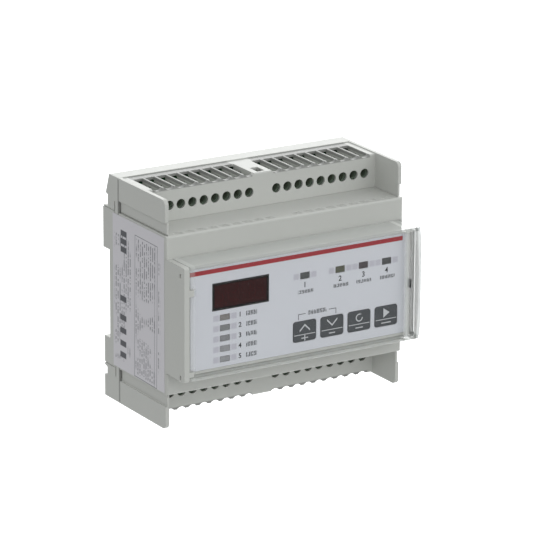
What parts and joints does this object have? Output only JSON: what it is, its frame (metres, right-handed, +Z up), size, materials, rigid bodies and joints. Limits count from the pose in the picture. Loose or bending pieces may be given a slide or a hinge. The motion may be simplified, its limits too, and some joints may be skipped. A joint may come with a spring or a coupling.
{
  "type": "insulation monitoring device",
  "caption": "Rail-mounted insulation monitoring device: grey moulded housing with terminal rows, a clear hinged door over a panel with display, indicators and keys, and sprung rail latches.",
  "frame": {"origin": "centre of the face that seats on the mounting rail", "axes": "+X along the rail to the right as seen from the front, -Y towards the viewer, +Z up; +Y is the outward normal of the rail seat"},
  "size_m": [0.1052, 0.0626, 0.09],
  "materials": {
    "housing_grey": "fine matt moulding texture",
    "clear_plastic": "clear polished",
    "panel_film": "satin printed film",
    "sticker": "satin film",
    "red_window": "smoked red filter",
    "display_black": "dark",
    "key_grey": "satin",
    "switch_black": "matt",
    "indicator_grey": "milky",
    "board_green": "solder resist",
    "plated_steel": "zinc plated",
    "terminal_green": "matt",
    "plated_brass": "dull plating",
    "lamination_steel": "varnished",
    "winding_tape": "taped winding",
    "relay_blue": "moulded",
    "capacitor_yellow": "moulded",
    "capacitor_can": "sleeved can",
    "varistor_blue": "lacquered",
    "fuse_ceramic": "plain",
    "latch_grey": "matt"
  },
  "bodies": {
    "housing": {"rear_base": "housing_grey", "front_housing": "housing_grey", "upper_terminal_cover": "housing_grey", "lower_terminal_cover": "housing_grey", "label_panel": "panel_film", "side_label": "sticker", "display_window": "red_window", "digit_display": "display_black", "key_switch_1": "switch_black", "key_switch_2": "switch_black", "key_switch_3": "switch_black", "key_switch_4": "switch_black", "value_led_1": "indicator_grey", "value_led_2": "indicator_grey", "value_led_3": "indicator_grey", "value_led_4": "indicator_grey", "value_led_5": "indicator_grey", "status_led_1": "indicator_grey", "status_led_2": "indicator_grey", "status_led_3": "indicator_grey", "status_led_4": "indicator_grey", "main_board": "board_green", "display_board": "board_green", "riser_board": "board_green", "board_screws": "plated_steel", "display_screws": "plated_steel", "terminal_block_upper_left": "terminal_green", "terminal_block_upper_right": "terminal_green", "terminal_block_lower_left": "terminal_green", "terminal_block_lower_right": "terminal_green", "upper_clamps": "plated_brass", "lower_clamps": "plated_brass", "upper_screws": "plated_brass", "lower_screws": "plated_brass", "transformer_core": "lamination_steel", "transformer_coil": "winding_tape", "relay_upper": "relay_blue", "relay_lower": "relay_blue", "film_capacitor": "capacitor_yellow", "coupling_capacitor": "capacitor_yellow", "smoothing_capacitor_upper": "capacitor_can", "smoothing_capacitor_lower": "capacitor_can", "varistor": "varistor_blue", "fuse_tube": "fuse_ceramic", "fuse_clips": "plated_brass", "controller_chip": "switch_black", "latch_spring_left": "plated_steel", "latch_spring_right": "plated_steel"},
    "door": {"clear_door": "clear_plastic"},
    "key_up": {"key_up": "key_grey"},
    "key_down": {"key_down": "key_grey"},
    "key_reset": {"key_reset": "key_grey"},
    "key_test": {"key_test": "key_grey"},
    "latch_left": {"rail_latch_left": "latch_grey"},
    "latch_right": {"rail_latch_right": "latch_grey"}
  },
  "joints": [
    {"name": "door_hinge", "type": "hinge", "parent": "housing", "child": "door", "pos_m": [-0.0487, -0.0553, 0.0028], "axis": [0, 0, -1], "range_deg": [0, 90]},
    {"name": "key_up_press", "type": "slide", "parent": "housing", "child": "key_up", "axis": [0, 1, 0], "range_m": [0, 0.00035], "stiffness_N_per_m": 300},
    {"name": "key_down_press", "type": "slide", "parent": "housing", "child": "key_down", "axis": [0, 1, 0], "range_m": [0, 0.00035], "stiffness_N_per_m": 300},
    {"name": "key_reset_press", "type": "slide", "parent": "housing", "child": "key_reset", "axis": [0, 1, 0], "range_m": [0, 0.00035], "stiffness_N_per_m": 300},
    {"name": "key_test_press", "type": "slide", "parent": "housing", "child": "key_test", "axis": [0, 1, 0], "range_m": [0, 0.00035], "stiffness_N_per_m": 300},
    {"name": "latch_left_slide", "type": "slide", "parent": "housing", "child": "latch_left", "axis": [0, 0, -1], "range_m": [0, 0.0035], "stiffness_N_per_m": 600, "deforming": ["latch_spring_left"]},
    {"name": "latch_right_slide", "type": "slide", "parent": "housing", "child": "latch_right", "axis": [0, 0, -1], "range_m": [0, 0.0035], "stiffness_N_per_m": 600, "deforming": ["latch_spring_right"]}
  ]
}
